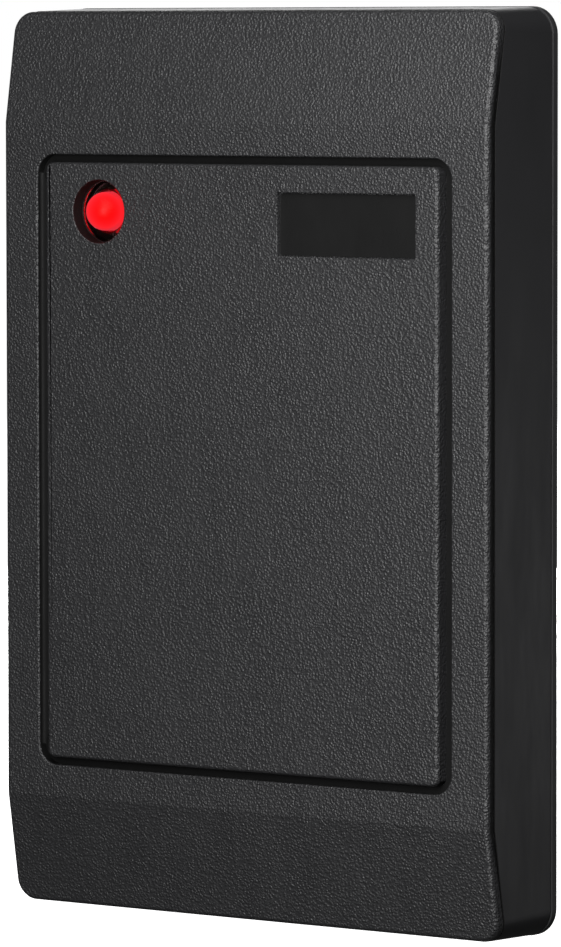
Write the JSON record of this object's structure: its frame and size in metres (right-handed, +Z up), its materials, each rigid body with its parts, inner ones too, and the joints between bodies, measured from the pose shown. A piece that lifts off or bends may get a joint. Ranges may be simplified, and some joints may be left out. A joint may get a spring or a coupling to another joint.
{
  "type": "proximity card reader",
  "caption": "Wall-mounted card reader: slim box with sloped ends, raised textured panel, round red status light and blank label, on a hooked wall plate.",
  "frame": {"origin": "centre of the wall face, where the cable opening's axis meets the wall", "axes": "+X to the right as seen from the front, +Y into the wall, +Z up"},
  "size_m": [0.075, 0.0162, 0.115],
  "materials": {
    "textured_plastic": "fine spark texture",
    "smooth_plastic": "smooth semi-gloss",
    "plain_plastic": "plain satin",
    "badge": "smooth satin",
    "clear_lens": "clear",
    "red_light": "tinted clear",
    "tinned_metal": "tinned",
    "steel": "zinc plated",
    "gold_metal": "bright",
    "board": "solder mask",
    "coil_wire": "enamelled copper",
    "nylon": "natural nylon",
    "rubber": "matt",
    "chip_body": "moulded epoxy",
    "aluminium_can": "satin",
    "ceramic_tan": "fired",
    "buzzer_plastic": "satin"
  },
  "bodies": {
    "wall": {"wall_plate": "plain_plastic"},
    "reader": {"housing": "smooth_plastic", "front_cover": "textured_plastic", "face_panel": "textured_plastic", "blank_badge": "badge", "led_lens": "clear_lens", "status_led": "red_light", "led_leads": "tinned_metal", "circuit_board": "board", "coil_former": "nylon", "antenna_coil": "coil_wire", "rear_cover": "plain_plastic", "cover_gasket": "rubber", "cover_screws": "steel", "board_screws": "steel", "cable_grommet": "rubber", "cable_header": "nylon", "header_pins": "gold_metal", "controller_chip": "chip_body", "controller_pins": "tinned_metal", "amplifier_chip": "chip_body", "amplifier_pins": "tinned_metal", "crystal": "tinned_metal", "voltage_regulator": "chip_body", "power_capacitors": "aluminium_can", "chip_capacitors": "ceramic_tan", "chip_resistors": "chip_body", "buzzer": "buzzer_plastic", "protection_diodes": "chip_body", "driver_transistors": "chip_body", "captive_nut": "gold_metal", "screw_seal": "rubber", "tamper_switch": "chip_body", "tamper_spring": "steel"},
    "latch_screw": {"security_screw": "steel"},
    "plunger": {"tamper_plunger": "nylon"}
  },
  "joints": [
    {"name": "reader_swing", "type": "hinge", "parent": "wall", "child": "reader", "pos_m": [0, -0.00115, 0.057], "axis": [-1, 0, 0], "range_deg": [0, 15]},
    {"name": "latch_screw_travel", "type": "slide", "parent": "reader", "child": "latch_screw", "axis": [0, 0, -1], "range_m": [0, 0.0035]},
    {"name": "tamper_travel", "type": "slide", "parent": "reader", "child": "plunger", "axis": [0, 1, 0], "range_m": [0, 0.0015], "stiffness_N_per_m": 100}
  ]
}
